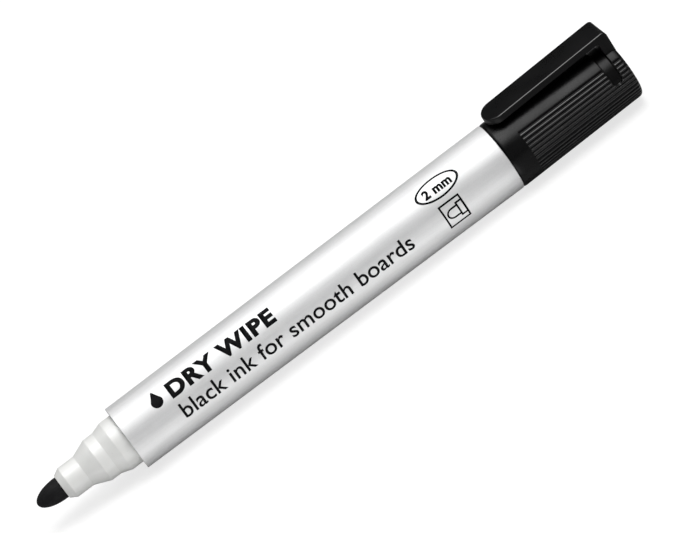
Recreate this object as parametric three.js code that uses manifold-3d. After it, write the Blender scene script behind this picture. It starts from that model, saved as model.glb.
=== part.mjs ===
// A bullet-tip whiteboard marker, lying on its side with its cap posted on the rear end.
// Millimetres. X runs along the marker, with the nib towards -X and the cap towards +X.
// +Z is up, the clip is on top, and the surface that the marker lies on is z = 0.
// Turned pieces are drawn as [x, radius] outlines, measured from the piece's own front end.
import * as THREE from "three";
import { mergeVertices } from "three/addons/utils/BufferGeometryUtils.js";
import Module from "manifold-3d";

const wasm = await Module();
wasm.setup();

// ---------------------------------------------------------------- driving dimensions

const ROUND_STEPS = 32; // flats round every turned piece
const ARC_STEPS = 4; // straight steps in a rounded edge
const NOSE_STEPS = 8; // straight steps in the nib's rounded nose

// Barrel
const BARREL_LENGTH = 97.2;
const BARREL_FRONT_RADIUS = 7.49;
const BARREL_REAR_RADIUS = 7.92;
const BARREL_WALL = 1.14; // at the front, where it is thinnest; the bore is straight
const LIP_THICKNESS = 1.6; // inward lip that holds the front section from in front
const COUNTERBORE_DEPTH = 0.9; // recess in the rear end that takes the plug's flange
const COUNTERBORE_STEP = 0.63; // how much wider than the bore that recess is
const CENTRING_RIB_COUNT = 6; // ribs inside the bore that hold the reservoir off the wall
const CENTRING_RIB_HEIGHT = 0.6;
const CENTRING_RIB_WIDTH = 0.9;

// Front section, front to rear: chamfer, tip land, tip cone, seal land, seat cone, seat land
const SHOULDER_WIDTH = 1.59; // from the barrel's front edge in to the seat land
const SEAT_LAND_LENGTH = 2.7;
const SEAT_CONE_LENGTH = 2.38;
const SEAL_LAND_STEP = 0.78; // how far the seal land lies below the seat land
const SEAL_LAND_LENGTH = 2.37;
const TIP_CONE_LENGTH = 3.59;
const TIP_LAND_LENGTH = 3.99;
const TIP_LAND_WALL = 1.16; // plastic round the nib at the tip land
const TIP_CHAMFER_LENGTH = 1.57;
const TIP_RIM_WALL = 0.25; // plastic left round the nib at the very front
const NIB_GRIP_INSET = 3.0; // the nib's bore ends this far in front of the barrel
const SHELF_DEPTH = 6.0; // from the barrel's front end to the shelf that stops the reservoir
const SHELF_WIDTH = 1.15;
const SKIRT_OVERLAP = 6.0; // length of skirt that runs back over the reservoir

// Nib
const NIB_RADIUS = 2.5;
const NIB_EXPOSED = 6.2;
const NIB_NOSE_LENGTH = 5.7;
const NIB_IN_RESERVOIR = 3.0;
const NIB_TAIL_CHAMFER = 0.6;

// Ink reservoir
const FILM_WALL = 0.15;
const FILM_SETBACK = 2.0; // bare fibre left at each end of the film

// End plug, with the spigot that the cap posts on
const PLUG_SKIRT_LENGTH = 8.0;
const PLUG_WALL = 1.1;
const PLUG_CONE_LENGTH = 1.2;
const PLUG_SEAL_INSET = 0.6; // the seal land stops this far short of the inner cap's taper
const PLUG_CHAMFER = 0.6;
const PLUG_END_WALL = 1.2;

// Cap
const CAP_LENGTH = 31.7;
const CAP_PROUD = 0.03; // how much wider than the barrel's rear end the cap is
const CAP_DRAFT = 0.58; // how much narrower the cap is at its closed end
const MOUTH_ROUND_LENGTH = 0.8;
const MOUTH_ROUND_DROP = 0.32;
const MOUTH_LEAD_IN = 0.3;
const END_ROUND = 0.9;
const END_WALL = 1.3;
const RIB_STEPS = 48; // ribs that a full turn of the cap would hold
const RIB_START = 4.8; // from the mouth
const RIB_GROOVE_DEPTH = 0.28;
const RIB_GROOVE_WIDTH = 0.56;
const SMOOTH_BAND = 90; // degrees of plain surface, centred on the clip
const RECESS_FROM_END = 2.57; // from the closed end to the recess that runs across it
const RECESS_WIDTH = 2.43;
const RECESS_DEPTH = 0.72; // below the cap's surface at its closed end
const RECESS_REACH = 83; // degrees from the clip's centre to each end of the recess
const RECESS_STEPS = 24; // straight steps along the recess

// Inner cap that keeps the nib wet
const SEAL_MOUTH_GAP = 0.42; // from the end of the seat cone to the inner cap's mouth
const SEAL_GRIP_LENGTH = 3.4;
const SEAL_TAPER_LENGTH = 1.6;
const SEAL_CHAMBER_WALL = 0.7;
const SEAL_END_WALL = 0.8;
const SEAL_STEM_RADIUS = 1.6;
const SEAL_STEM_LENGTH = 4.8;

// Clip
const CLIP_WIDTH = 7.56;
const CLIP_THICKNESS = 1.55;
const CLIP_TIP_INSET = 1.0; // from the cap's mouth to the clip's free end
const CLIP_TIP_ROUND = 3.0; // length of the rounded free end, seen from above
const CLIP_GAP_AT_TIP = 0.58; // between the clip's underside and the cap
const CLIP_GAP_AT_ROOT = 2.38;
const CLIP_ROOT_ROUND = 1.0;
const CLIP_BEAD_INSET = 1.6; // from the free end to the bead under it
const CLIP_BEAD_RADIUS = 0.7;
const CLIP_BEAD_GAP = 0.2; // between the bead and the cap at rest
const PILLAR_SINK = 0.9; // how far the clip's pillar runs down into the cap's wall

// Clearances, all between one piece and the next
const PRESS_GAP = 0.05; // radial, pieces pressed together for good
const END_GAP = 0.1; // end to end, pieces that butt
const LIP_GAP = 0.08; // radial, between the barrel's lip and the front section
const NIB_GAP = 0.05;
const RESERVOIR_GAP = 0.1;
const RESERVOIR_END_GAP = 0.3;
const CAP_GAP = 0.1; // radial, cap bore over the seat land
const SEAL_GRIP_GAP = 0.1; // radial, inner cap over the seal land
const SEAL_FIT_GAP = 0.1; // radial, inner cap in the cap's bore
const SEAL_CHAMBER_GAP = 0.64; // radial, inner cap over the tip land
const CORE_GAP = 0.4; // radial, cap core round the inner cap's chamber
const POSTING_GAP = 0.1; // between the barrel's rear end and the posted cap's mouth
const CLIP_HINGE_GAP = 0.3; // between the clip's pillar and the clip

// ---------------------------------------------------------------- sizes that follow

const seatRadius = BARREL_FRONT_RADIUS - SHOULDER_WIDTH;
const sealLandRadius = seatRadius - SEAL_LAND_STEP;
const tipLandRadius = NIB_RADIUS + TIP_LAND_WALL;
const nibBoreRadius = NIB_RADIUS + NIB_GAP;
const sectionLength =
  SEAT_LAND_LENGTH +
  SEAT_CONE_LENGTH +
  SEAL_LAND_LENGTH +
  TIP_CONE_LENGTH +
  TIP_LAND_LENGTH +
  TIP_CHAMFER_LENGTH;

const boreRadius = BARREL_FRONT_RADIUS - BARREL_WALL;
const counterboreRadius = boreRadius + COUNTERBORE_STEP;
const pressedRadius = boreRadius - PRESS_GAP;
const reservoirBoreRadius = boreRadius - CENTRING_RIB_HEIGHT;

const skirtEnd = SHELF_DEPTH + SKIRT_OVERLAP; // from the barrel's front end
const plugFront = BARREL_LENGTH - PLUG_SKIRT_LENGTH; // from the barrel's front end
const reservoirFront = SHELF_DEPTH + RESERVOIR_END_GAP;
const reservoirLength = plugFront - RESERVOIR_END_GAP - reservoirFront;
const filmRadius = reservoirBoreRadius - RESERVOIR_GAP;
const coreRadius = filmRadius - FILM_WALL - PRESS_GAP;

const nibLength = NIB_EXPOSED + sectionLength + reservoirFront + NIB_IN_RESERVOIR;

const capRadius = BARREL_REAR_RADIUS + CAP_PROUD;
const capEndRadius = capRadius - CAP_DRAFT;
const capBoreRadius = seatRadius + CAP_GAP;
const sealMouth = SEAT_LAND_LENGTH + SEAT_CONE_LENGTH + SEAL_MOUTH_GAP; // from the cap's mouth
const sealGripEnd = sealMouth + SEAL_GRIP_LENGTH;
const sealTaperEnd = sealGripEnd + SEAL_TAPER_LENGTH;
const sealChamberRadius = tipLandRadius + SEAL_CHAMBER_GAP;
const sealChamberOuterRadius = sealChamberRadius + SEAL_CHAMBER_WALL;
const capCoreRadius = sealChamberOuterRadius + CORE_GAP;
const capTaperAngle = Math.atan2(CAP_DRAFT, CAP_LENGTH);

const overallLength = NIB_EXPOSED + sectionLength + BARREL_LENGTH + POSTING_GAP + CAP_LENGTH;
const barrelX = NIB_EXPOSED + sectionLength - overallLength / 2;
const capX = barrelX + BARREL_LENGTH + POSTING_GAP;
const axisHeight = capRadius * Math.cos(Math.PI / ROUND_STEPS); // the cap lies on one flat

// ---------------------------------------------------------------- shape helpers

// A solid of revolution about X from a closed [x, radius] outline that runs along the outside
// first. One flat faces straight down.
function turned(outline) {
  const points = outline.map(([x, radius]) => new THREE.Vector2(radius, x));
  return new THREE.LatheGeometry(points, ROUND_STEPS, Math.PI / ROUND_STEPS).rotateZ(
    -Math.PI / 2,
  );
}

// Points of a quarter ellipse about [x, radius], from one angle to the other in degrees,
// where 0 points along +X and 90 points away from the axis.
function quarter(x, radius, semiX, semiRadius, from, to, steps = ARC_STEPS) {
  return Array.from({ length: steps + 1 }, (_, i) => {
    const angle = THREE.MathUtils.degToRad(from + ((to - from) * i) / steps);
    return [x + semiX * Math.cos(angle), radius + semiRadius * Math.sin(angle)];
  });
}

// A closed outline: its last point is its first again.
const closed = (outline) => [...outline, outline[0]];

// A flat outline in X and Z, made a slab of the given width centred on y = 0.
function slabAlongY(shape, width) {
  return new THREE.ExtrudeGeometry(shape, {
    depth: width,
    bevelEnabled: false,
    curveSegments: ARC_STEPS,
  })
    .rotateX(Math.PI / 2)
    .translate(0, width / 2, 0);
}

function solidFrom(geometry) {
  const bare = geometry.clone();
  bare.deleteAttribute("normal");
  bare.deleteAttribute("uv");
  const merged = mergeVertices(bare, 1e-4);
  return new wasm.Manifold(
    new wasm.Mesh({
      numProp: 3,
      vertProperties: merged.attributes.position.array,
      triVerts: new Uint32Array(merged.index.array),
    }),
  );
}

function geometryFrom(solid) {
  const mesh = solid.getMesh();
  return new THREE.BufferGeometry()
    .setAttribute("position", new THREE.BufferAttribute(mesh.vertProperties, 3))
    .setIndex(new THREE.BufferAttribute(mesh.triVerts, 1));
}

function named(name, geometry, material, x = 0) {
  geometry.computeVertexNormals();
  const mesh = new THREE.Mesh(geometry, material);
  mesh.name = name;
  mesh.position.x = x;
  return mesh;
}

// ---------------------------------------------------------------- materials

const finish = (color, roughness, metalness) =>
  new THREE.MeshStandardMaterial({ color, roughness, metalness });

const silverPlastic = finish(0xdcdddd, 0.38, 0.25);
const naturalPlastic = finish(0xb9bdb4, 0.45, 0);
const blackPlastic = finish(0x111112, 0.5, 0);
const inkedFelt = finish(0x0b0b0c, 0.9, 0);
const inkedFibre = finish(0x1a1a1d, 0.95, 0);
const clearFilm = finish(0xd8dcdf, 0.25, 0);
const paleSeal = finish(0xe6e6e2, 0.5, 0);

// ---------------------------------------------------------------- pieces of the body

// The barrel: a tube with a slight taper outside, a lip at the front, a counterbore at the
// rear, and low ribs along the bore between the two pressed-in ends.
function barrelTube() {
  const tube = solidFrom(
    turned(
      closed([
        [0, seatRadius + LIP_GAP],
        [0, BARREL_FRONT_RADIUS],
        [BARREL_LENGTH, BARREL_REAR_RADIUS],
        [BARREL_LENGTH, counterboreRadius],
        [BARREL_LENGTH - COUNTERBORE_DEPTH, counterboreRadius],
        [BARREL_LENGTH - COUNTERBORE_DEPTH, boreRadius],
        [LIP_THICKNESS, boreRadius],
        [LIP_THICKNESS, seatRadius + LIP_GAP],
      ]),
    ),
  );
  const sink = BARREL_WALL / 2;
  const from = skirtEnd + RESERVOIR_END_GAP;
  const to = plugFront - RESERVOIR_END_GAP;
  const rib = new THREE.BoxGeometry(
    to - from,
    CENTRING_RIB_WIDTH,
    CENTRING_RIB_HEIGHT + sink,
  ).translate((from + to) / 2, 0, reservoirBoreRadius + (CENTRING_RIB_HEIGHT + sink) / 2);
  const ribs = Array.from({ length: CENTRING_RIB_COUNT }, (_, i) =>
    solidFrom(rib.clone().rotateX((i * 2 * Math.PI) / CENTRING_RIB_COUNT)),
  );
  return geometryFrom(ribs.reduce((body, one) => body.add(one), tube));
}

// The front section: stepped outside for the cap and the fingers, with a bore that grips the
// nib, a shelf that stops the reservoir and a skirt that is pressed into the barrel.
// Its x = 0 is the barrel's front end.
function frontSection() {
  const seatEnd = -SEAT_LAND_LENGTH;
  const sealFrom = seatEnd - SEAT_CONE_LENGTH;
  const sealEnd = sealFrom - SEAL_LAND_LENGTH;
  const tipFrom = sealEnd - TIP_CONE_LENGTH;
  const tipEnd = tipFrom - TIP_LAND_LENGTH;
  const flange = LIP_THICKNESS + END_GAP;
  const shelfRadius = reservoirBoreRadius - SHELF_WIDTH;
  return turned(
    closed([
      [-sectionLength, nibBoreRadius],
      [-sectionLength, nibBoreRadius + TIP_RIM_WALL],
      [tipEnd, tipLandRadius],
      [tipFrom, tipLandRadius],
      [sealEnd, sealLandRadius],
      [sealFrom, sealLandRadius],
      [seatEnd, seatRadius],
      [flange, seatRadius],
      [flange, pressedRadius],
      [skirtEnd, pressedRadius],
      [skirtEnd, reservoirBoreRadius],
      [SHELF_DEPTH, reservoirBoreRadius],
      [SHELF_DEPTH, shelfRadius],
      [0, shelfRadius],
      [-NIB_GRIP_INSET, nibBoreRadius],
    ]),
  );
}

// The nib: a felt rod with a rounded nose, its tail pushed into the reservoir.
// Its x = 0 is the tip.
function nib() {
  return turned([
    ...quarter(NIB_NOSE_LENGTH, 0, NIB_NOSE_LENGTH, NIB_RADIUS, 180, 90, NOSE_STEPS).map(
      ([x, radius], i) => [x, i === 0 ? 0 : radius],
    ),
    [nibLength - NIB_TAIL_CHAMFER, NIB_RADIUS],
    [nibLength, NIB_RADIUS - NIB_TAIL_CHAMFER],
    [nibLength, 0],
  ]);
}

// The reservoir's fibre core, with the dent that the nib's tail makes in it.
function fillerCore() {
  const dent = NIB_IN_RESERVOIR + RESERVOIR_END_GAP;
  return turned([
    [dent, 0],
    [dent, nibBoreRadius],
    [0, nibBoreRadius],
    [0, coreRadius],
    [reservoirLength, coreRadius],
    [reservoirLength, 0],
  ]);
}

// The film sleeve wrapped round the fibre core, short of both of its ends.
function fillerFilm() {
  return turned(
    closed([
      [FILM_SETBACK, filmRadius - FILM_WALL],
      [FILM_SETBACK, filmRadius],
      [reservoirLength - FILM_SETBACK, filmRadius],
      [reservoirLength - FILM_SETBACK, filmRadius - FILM_WALL],
    ]),
  );
}

// The end plug: a thimble pressed into the barrel's rear end, with a flange in the barrel's
// counterbore and a stepped spigot behind it that the cap posts on.
// Its x = 0 is the barrel's rear end.
function endPlug() {
  const flangeRadius = counterboreRadius - PRESS_GAP;
  const flange = END_GAP - COUNTERBORE_DEPTH;
  const coneEnd = SEAT_LAND_LENGTH + SEAT_CONE_LENGTH;
  const landEnd = sealGripEnd - PLUG_SEAL_INSET;
  const end = landEnd + PLUG_CHAMFER;
  const hollowRadius = sealLandRadius - PLUG_WALL;
  return turned([
    [end - PLUG_END_WALL, 0],
    [end - PLUG_END_WALL, hollowRadius],
    [0, hollowRadius],
    [-PLUG_WALL, pressedRadius - PLUG_WALL],
    [-PLUG_SKIRT_LENGTH, pressedRadius - PLUG_WALL],
    [-PLUG_SKIRT_LENGTH, pressedRadius],
    [flange, pressedRadius],
    [flange, flangeRadius],
    [0, flangeRadius],
    [0, seatRadius],
    [coneEnd - PLUG_CONE_LENGTH, seatRadius],
    [coneEnd, sealLandRadius],
    [landEnd, sealLandRadius],
    [end, sealLandRadius - PLUG_CHAMFER],
    [end, 0],
  ]);
}

// ---------------------------------------------------------------- pieces of the cap
// Each one's x = 0 is the cap's mouth.

// The cap's surface radius at a distance from its mouth, on the tapered stretch.
const capSurface = (x) => capRadius - (CAP_DRAFT * x) / CAP_LENGTH;

// Height of the clip's underside above the axis.
function clipUnderside(x) {
  const share = (x - CLIP_TIP_INSET) / (CAP_LENGTH - CLIP_TIP_INSET);
  const atTip = capRadius + CLIP_GAP_AT_TIP;
  const atRoot = capEndRadius + CLIP_GAP_AT_ROOT;
  return atTip + (atRoot - atTip) * share;
}

// One long groove between two ribs, at the top of the cap, tilted to follow the taper.
function ribGroove() {
  const length = CAP_LENGTH - RIB_START + 1;
  const height = 2 * RIB_GROOVE_DEPTH;
  return new THREE.BoxGeometry(length, RIB_GROOVE_WIDTH, height)
    .translate(length / 2, 0, 0)
    .rotateY(capTaperAngle)
    .translate(RIB_START, 0, capSurface(RIB_START));
}

// The recess across the cap behind the clip: a ring sector with half-round ends.
function recessCutter() {
  const floor = capEndRadius - RECESS_DEPTH;
  const clear = capRadius + 1;
  const reach = THREE.MathUtils.degToRad(RECESS_REACH);
  const middle = CAP_LENGTH - RECESS_FROM_END - RECESS_WIDTH / 2;
  const endTurn = reach - RECESS_WIDTH / 2 / capEndRadius;
  const sector = new THREE.Shape();
  sector.absarc(0, 0, clear, Math.PI / 2 - endTurn, Math.PI / 2 + endTurn, false);
  sector.absarc(0, 0, floor, Math.PI / 2 + endTurn, Math.PI / 2 - endTurn, true);
  sector.closePath();
  const band = solidFrom(
    new THREE.ExtrudeGeometry(sector, {
      depth: RECESS_WIDTH,
      bevelEnabled: false,
      curveSegments: RECESS_STEPS,
    })
      .translate(0, 0, -RECESS_WIDTH / 2)
      .rotateY(Math.PI / 2)
      .rotateX(Math.PI / 2)
      .translate(middle, 0, 0),
  );
  const ends = [endTurn, -endTurn].map((turn) =>
    solidFrom(
      new THREE.CylinderGeometry(RECESS_WIDTH / 2, RECESS_WIDTH / 2, clear - floor, 12)
        .rotateX(Math.PI / 2)
        .translate(middle, 0, (clear + floor) / 2)
        .rotateX(turn),
    ),
  );
  return ends.reduce((all, one) => all.add(one), band);
}

// The cap's outer shell: a closed-ended tube with long ribs, a plain band under the clip, the
// recess across its closed end and the pillar that carries the clip.
function capShell() {
  const outside = [
    ...quarter(
      MOUTH_ROUND_LENGTH,
      capRadius - MOUTH_ROUND_DROP,
      MOUTH_ROUND_LENGTH,
      MOUTH_ROUND_DROP,
      180,
      90,
    ),
    ...quarter(CAP_LENGTH - END_ROUND, capEndRadius - END_ROUND, END_ROUND, END_ROUND, 90, 0),
  ];
  const shell = solidFrom(
    turned([
      [CAP_LENGTH - END_WALL, 0],
      [CAP_LENGTH - END_WALL, capCoreRadius],
      [sealTaperEnd, capCoreRadius],
      [sealGripEnd, capBoreRadius],
      [MOUTH_LEAD_IN, capBoreRadius],
      [0, capBoreRadius + MOUTH_LEAD_IN],
      ...outside,
      [CAP_LENGTH, 0],
    ]),
  );

  const pitch = (2 * Math.PI) / RIB_STEPS;
  const firstGroove = THREE.MathUtils.degToRad(SMOOTH_BAND / 2) + pitch / 2;
  const grooveCount = Math.round(((360 - SMOOTH_BAND) / 360) * RIB_STEPS);
  const grooves = Array.from({ length: grooveCount }, (_, i) =>
    solidFrom(ribGroove().rotateX(firstGroove + i * pitch)),
  );
  const cutters = grooves.reduce((all, one) => all.add(one), recessCutter());

  const pillarFoot = capEndRadius - PILLAR_SINK;
  const pillarHead = clipUnderside(CAP_LENGTH) - CLIP_HINGE_GAP;
  const pillar = solidFrom(
    new THREE.BoxGeometry(RECESS_FROM_END, CLIP_WIDTH, pillarHead - pillarFoot).translate(
      CAP_LENGTH - RECESS_FROM_END / 2,
      0,
      (pillarHead + pillarFoot) / 2,
    ),
  );
  return geometryFrom(shell.subtract(cutters).add(pillar));
}

// The clip: a flat tongue that rises towards its root, rounded at its free end, with a bead
// under that end.
function capClip() {
  const tip = CLIP_TIP_INSET;
  const root = CAP_LENGTH;
  const half = CLIP_WIDTH / 2;
  const beadX = tip + CLIP_BEAD_INSET;
  const beadZ = capSurface(beadX) + CLIP_BEAD_GAP + CLIP_BEAD_RADIUS;
  const beadRise = Math.min(clipUnderside(beadX) - beadZ, 0.8 * CLIP_BEAD_RADIUS);
  const beadHalf = Math.sqrt(CLIP_BEAD_RADIUS ** 2 - beadRise ** 2);
  const beadAngle = Math.atan2(beadRise, beadHalf);
  const top = (x) => clipUnderside(x) + CLIP_THICKNESS;

  const side = new THREE.Shape();
  side.moveTo(tip, clipUnderside(tip));
  side.absarc(beadX, beadZ, CLIP_BEAD_RADIUS, Math.PI - beadAngle, 2 * Math.PI + beadAngle, false);
  side.lineTo(root, clipUnderside(root));
  side.absarc(
    root - CLIP_ROOT_ROUND,
    top(root) - CLIP_ROOT_ROUND,
    CLIP_ROOT_ROUND,
    0,
    Math.PI / 2,
    false,
  );
  side.lineTo(tip, top(tip));
  side.closePath();

  const plan = new THREE.Shape();
  plan.moveTo(root + 1, -half);
  plan.lineTo(root + 1, half);
  plan.absellipse(tip + CLIP_TIP_ROUND, 0, CLIP_TIP_ROUND, half, Math.PI / 2, 1.5 * Math.PI, false, 0);
  plan.closePath();
  const planSlab = new THREE.ExtrudeGeometry(plan, {
    depth: top(root) + 1,
    bevelEnabled: false,
    curveSegments: 3 * ARC_STEPS,
  });
  return geometryFrom(
    solidFrom(slabAlongY(side, CLIP_WIDTH + 2)).intersect(solidFrom(planSlab)),
  );
}

// The inner cap: a closed thimble that grips the seal land and keeps air off the nib, held
// off the cap's end by a stem.
function capInnerSeal() {
  const gripRadius = sealLandRadius + SEAL_GRIP_GAP;
  const outerRadius = capBoreRadius - SEAL_FIT_GAP;
  const stemEnd = CAP_LENGTH - END_WALL - END_GAP;
  const closedEnd = stemEnd - SEAL_STEM_LENGTH;
  return turned([
    [closedEnd - SEAL_END_WALL, 0],
    [closedEnd - SEAL_END_WALL, sealChamberRadius],
    [sealTaperEnd, sealChamberRadius],
    [sealGripEnd, gripRadius],
    [sealMouth, gripRadius],
    [sealMouth, outerRadius],
    [sealGripEnd, outerRadius],
    [sealTaperEnd, sealChamberOuterRadius],
    [closedEnd, sealChamberOuterRadius],
    [closedEnd, SEAL_STEM_RADIUS],
    [stemEnd, SEAL_STEM_RADIUS],
    [stemEnd, 0],
  ]);
}

// ---------------------------------------------------------------- assembly

const body = new THREE.Group();
body.position.x = barrelX;
body.add(
  named("barrel_tube", barrelTube(), silverPlastic),
  named("front_section", frontSection(), naturalPlastic),
  named("nib", nib(), inkedFelt, -sectionLength - NIB_EXPOSED),
  named("filler_core", fillerCore(), inkedFibre, reservoirFront),
  named("filler_film", fillerFilm(), clearFilm, reservoirFront),
  named("end_plug", endPlug(), blackPlastic, BARREL_LENGTH),
);

const cap = new THREE.Group();
cap.position.x = capX;
cap.add(
  named("cap_shell", capShell(), blackPlastic),
  named("cap_clip", capClip(), blackPlastic),
  named("cap_inner_seal", capInnerSeal(), paleSeal),
);

const marker = new THREE.Group();
marker.position.z = axisHeight;
marker.add(body, cap);

export default marker;
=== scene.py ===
"""A bullet-tip whiteboard marker with its cap posted, lying on a pale floor.

Outlines and sizes are in millimetres and are turned into metres by MM where a mesh is made.
x runs along the marker from nib to cap. An angle round the marker is counted from straight up,
where the clip is, towards -y, the side with the print.
"""

import math

import bmesh
import bpy
import numpy as np
from mathutils import Matrix, Vector


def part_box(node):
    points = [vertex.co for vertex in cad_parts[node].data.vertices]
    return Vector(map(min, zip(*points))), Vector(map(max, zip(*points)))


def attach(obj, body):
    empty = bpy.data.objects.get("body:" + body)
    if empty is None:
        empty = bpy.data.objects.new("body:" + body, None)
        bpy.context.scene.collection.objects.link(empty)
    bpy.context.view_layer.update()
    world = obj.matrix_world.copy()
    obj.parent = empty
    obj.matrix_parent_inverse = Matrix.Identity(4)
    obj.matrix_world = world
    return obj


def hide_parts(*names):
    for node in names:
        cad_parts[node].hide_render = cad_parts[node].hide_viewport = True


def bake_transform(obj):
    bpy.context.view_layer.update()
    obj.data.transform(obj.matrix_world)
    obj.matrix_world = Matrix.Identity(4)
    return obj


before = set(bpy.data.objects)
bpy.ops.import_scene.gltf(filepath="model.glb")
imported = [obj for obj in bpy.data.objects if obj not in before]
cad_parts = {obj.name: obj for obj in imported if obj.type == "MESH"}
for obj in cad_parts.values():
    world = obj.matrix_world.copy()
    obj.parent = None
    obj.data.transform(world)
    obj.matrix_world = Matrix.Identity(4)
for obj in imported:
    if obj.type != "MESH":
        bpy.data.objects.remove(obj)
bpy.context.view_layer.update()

MM = 0.001
TAU = 2 * math.pi


def millimetres(node):
    """Lowest and highest corner of a CAD node, in millimetres."""
    low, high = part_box(node)
    return np.array(low) / MM, np.array(high) / MM


# ------------------------------------------------------------------ places from the frame

BARREL_FRONT = millimetres("barrel_tube")[0][0]
BARREL_REAR = millimetres("barrel_tube")[1][0]
SECTION_TIP = millimetres("front_section")[0][0]
SKIRT_END = millimetres("front_section")[1][0]
NIB_TIP = millimetres("nib")[0][0]
NIB_TAIL = millimetres("nib")[1][0]
PLUG_FRONT = millimetres("end_plug")[0][0]
PLUG_END = millimetres("end_plug")[1][0]
CAP_MOUTH = millimetres("cap_shell")[0][0]
CAP_END = millimetres("cap_shell")[1][0]
CLIP_TIP = millimetres("cap_clip")[0][0]
SEAL_MOUTH = millimetres("cap_inner_seal")[0][0]
SEAL_END = millimetres("cap_inner_seal")[1][0]
AXIS_Z = float(np.mean([corner[2] for corner in millimetres("nib")]))

# ------------------------------------------------------------------ sizes of the pieces

PRESS_GAP = 0.05  # between pieces that are pressed together
END_GAP = 0.1  # between pieces that butt

BARREL_FRONT_RADIUS = 7.49
BARREL_REAR_RADIUS = 7.92
BORE_RADIUS = 6.35
COUNTERBORE_RADIUS = 6.98
COUNTERBORE_DEPTH = 0.9
LIP_THICKNESS = 1.6
LIP_GAP = 0.08

# the front section's steps: radii, and where each ends, counted back from the section's tip
TIP_LAND_RADIUS = 3.66
SEAL_LAND_RADIUS = 5.12
SEAT_RADIUS = 5.9
TIP_RIM = 0.25
TIP_CHAMFER_END = 1.57
TIP_LAND_END = 5.56
TIP_CONE_END = 9.15
SEAL_LAND_END = 11.52
SEAT_CONE_END = 13.90

# inside the section, counted from the barrel's front
NIB_GRIP_INSET = 3.0
SHELF_DEPTH = 6.0
SHELF_RADIUS = 4.6
RESERVOIR_RADIUS = 5.75

NIB_RADIUS = 2.5
NIB_NOSE = 5.7
NIB_CHAMFER = 0.6

PLUG_WALL = 1.1
PLUG_END_WALL = 1.2
PLUG_CHAMFER = 0.6
SPIGOT_LAND_END = 3.88  # counted from the barrel's rear end
SPIGOT_CONE_END = 5.08

CAP_RADIUS = 7.95
CAP_DRAFT = 0.58
CAP_BORE = 6.0
CAP_BORE_END = 8.9
CAP_CORE = 5.4
CAP_CORE_FROM = 10.5
CAP_LENGTH = CAP_END - CAP_MOUTH
MOUTH_ROUND = (0.8, 0.32)  # length and drop
MOUTH_LEAD_IN = 0.3
END_ROUND = 0.9
END_WALL = 1.3
RIB_PITCH = math.radians(7.5)
RIB_FROM = math.radians(45)
RIB_START = 4.8
RIB_DEPTH = 0.3
RECESS_MIDDLE = CAP_LENGTH - 3.785
RECESS_HALF = 1.215
RECESS_FLOOR = 6.7
RECESS_REACH = math.radians(83)

CLIP_HALF = 3.78
CLIP_THICKNESS = 1.55
CLIP_LOW_TIP = 8.53
CLIP_LOW_ROOT = 9.75
CLIP_TIP_ROUND = 3.0
CLIP_ROOT_ROUND = 1.1
CLIP_EDGE = 0.3
CLIP_LOW_EDGE = 0.12
CLIP_CORNER = 0.3
BEAD_RADIUS = 0.7
BEAD_INSET = 1.6
BEAD_GAP = 0.2
BEAD_HALF = 2.3
PILLAR_LENGTH = 2.57
PILLAR_FOOT = 6.9

SEAL_GRIP_RADIUS = 5.22
SEAL_GRIP_LENGTH = 3.4
SEAL_TAPER_END = 5.0
SEAL_END_WALL = 0.8
SEAL_OUTER_RADIUS = 5.9
SEAL_CHAMBER_RADIUS = 4.3
SEAL_CHAMBER_OUTER = 5.0
SEAL_STEM_RADIUS = 1.6
SEAL_STEM_LENGTH = 4.8

PRINT_HEIGHT = 0.012  # how far the ink stands off the barrel
PRINT_THICKNESS = 0.02
PRINT_STRIP = 0.22  # width of the strips that let the print bend


# ------------------------------------------------------------------ outlines and skins

def unit(v):
    """Direction of a vector."""
    return v / np.linalg.norm(v)


def rounded_outline(corners, loop=False, spacing=1.5, arc_steps=5, support=0.06):
    """Outline through corners (x, radius, rounding).

    Each corner gives way to a circular arc of its rounding that touches both of its sides. The
    straight runs between arcs are divided evenly, with a point close to each arc so that the
    flats shade flat.
    """
    place = np.array([corner[:2] for corner in corners], float)
    rounding = [corner[2] for corner in corners]
    count = len(corners)
    arcs = []
    for i in range(count):
        if not loop and i in (0, count - 1):
            arcs.append(place[i:i + 1])
            continue
        before, after = place[i - 1] - place[i], place[(i + 1) % count] - place[i]
        a, b = unit(before), unit(after)
        half = math.acos(np.clip(a @ b, -1, 1)) / 2
        room = 0.45 * min(np.linalg.norm(before), np.linalg.norm(after))
        reach = min(rounding[i] / math.tan(half), room)
        radius = reach * math.tan(half)
        centre = place[i] + unit(a + b) * reach / math.cos(half)
        start, end = place[i] + a * reach - centre, place[i] + b * reach - centre
        share = np.linspace(0, 1, arc_steps + 1)[:, None]
        turn = math.pi - 2 * half
        arc = (np.sin((1 - share) * turn) * start + np.sin(share * turn) * end) / math.sin(turn)
        arcs.append(centre + arc if radius > 0 else place[i:i + 1])
    runs = []
    for i in range(count if loop else count - 1):
        start, end = arcs[i][-1], arcs[(i + 1) % count][0]
        length = np.linalg.norm(end - start)
        near = min(support / max(length, 1e-9), 0.25)
        steps = max(1, round(length / spacing))
        share = np.concatenate([[near], np.linspace(0, 1, steps + 1)[1:-1], [1 - near]])
        runs.append(np.vstack([arcs[i], start + (end - start) * share[:, None]]))
    if not loop:
        runs.append(arcs[-1])
    outline = np.vstack(runs)
    return np.vstack([outline, outline[:1]]) if loop else outline


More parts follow.
